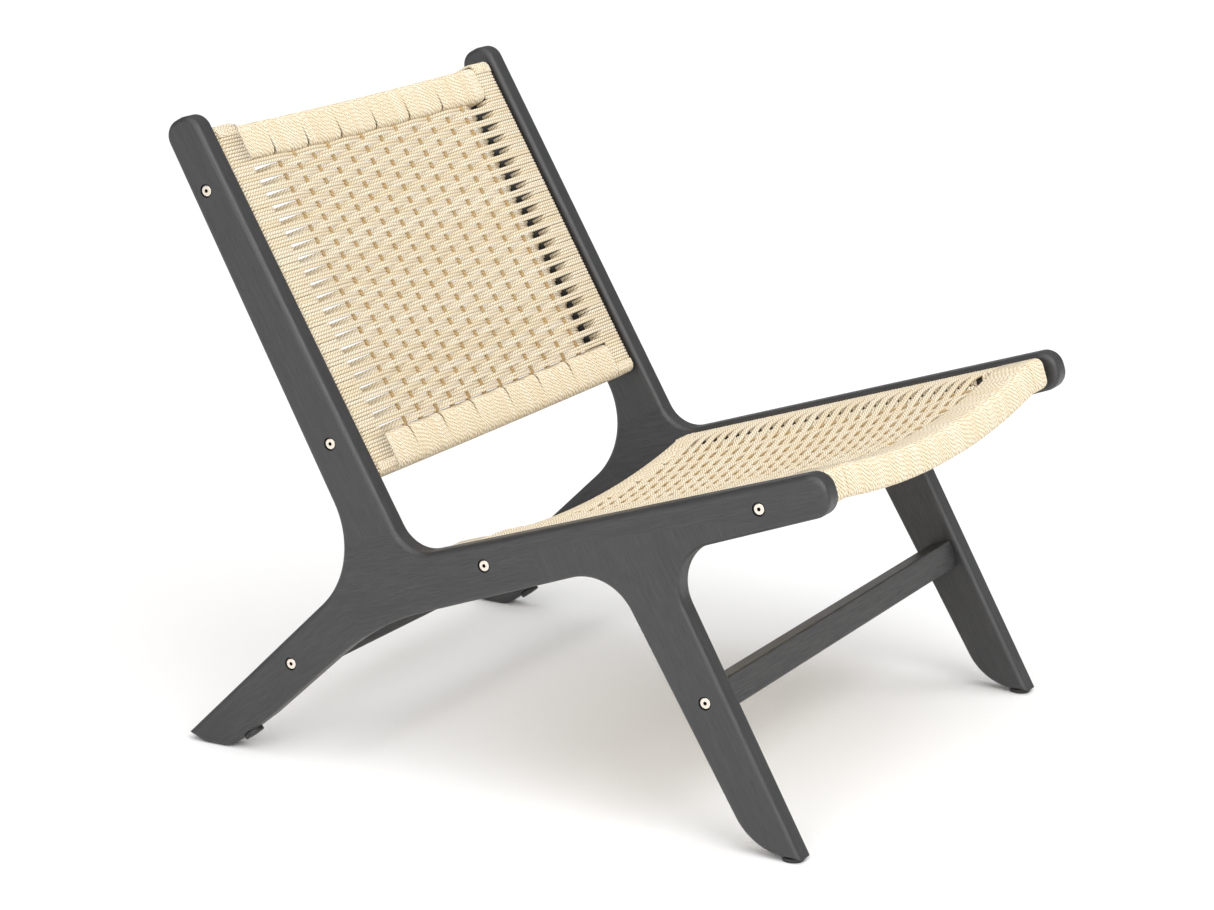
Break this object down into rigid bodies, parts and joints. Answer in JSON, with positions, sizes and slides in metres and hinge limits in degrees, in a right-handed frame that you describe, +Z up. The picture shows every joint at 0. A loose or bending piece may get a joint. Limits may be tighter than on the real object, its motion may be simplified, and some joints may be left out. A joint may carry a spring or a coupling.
{
  "type": "lounge chair",
  "caption": "Low lounge chair with two black stained ash side frames, a sloping back and a scooped seat woven in natural paper cord, and round-edged stretchers. It has no armrests.",
  "frame": {"origin": "on the floor, under the middle of the chair's width and depth", "axes": "+Z up, the sitter faces -Y, X across the chair; right_ nodes are on the sitter's right, at -X"},
  "size_m": [0.64, 0.8022, 0.717],
  "materials": {
    "stained_ash": "satin",
    "paper_cord": "matte",
    "plain_beech": "satin",
    "zinc_steel": "satin",
    "brass": "satin",
    "black_nylon": "matte"
  },
  "bodies": {
    "root": {"back_bottom_rail": "stained_ash", "back_bottom_wraps": "paper_cord", "back_top_rail": "stained_ash", "back_top_wraps": "paper_cord", "back_weave": "paper_cord", "front_barrel_nuts": "brass", "front_glide_screws": "zinc_steel", "front_glides": "black_nylon", "front_stretcher": "stained_ash", "front_stretcher_pins": "plain_beech", "left_back_panel_rail": "stained_ash", "left_back_side_wraps": "paper_cord", "left_back_upright": "stained_ash", "left_frame_dowels": "plain_beech", "left_front_leg": "stained_ash", "left_panel_bolts": "zinc_steel", "left_panel_inserts": "brass", "left_panel_spacers": "black_nylon", "left_rear_leg": "stained_ash", "left_seat_panel_rail": "stained_ash", "left_seat_rail": "stained_ash", "left_seat_side_wraps": "paper_cord", "left_stretcher_bolts": "zinc_steel", "rear_barrel_nuts": "brass", "rear_glide_screws": "zinc_steel", "rear_glides": "black_nylon", "rear_stretcher": "stained_ash", "rear_stretcher_pins": "plain_beech", "right_back_panel_rail": "stained_ash", "right_back_side_wraps": "paper_cord", "right_back_upright": "stained_ash", "right_frame_dowels": "plain_beech", "right_front_leg": "stained_ash", "right_panel_bolts": "zinc_steel", "right_panel_inserts": "brass", "right_panel_spacers": "black_nylon", "right_rear_leg": "stained_ash", "right_seat_panel_rail": "stained_ash", "right_seat_rail": "stained_ash", "right_seat_side_wraps": "paper_cord", "right_stretcher_bolts": "zinc_steel", "seat_front_rail": "stained_ash", "seat_front_wraps": "paper_cord", "seat_rear_rail": "stained_ash", "seat_rear_wraps": "paper_cord", "seat_weave": "paper_cord"}
  },
  "joints": []
}
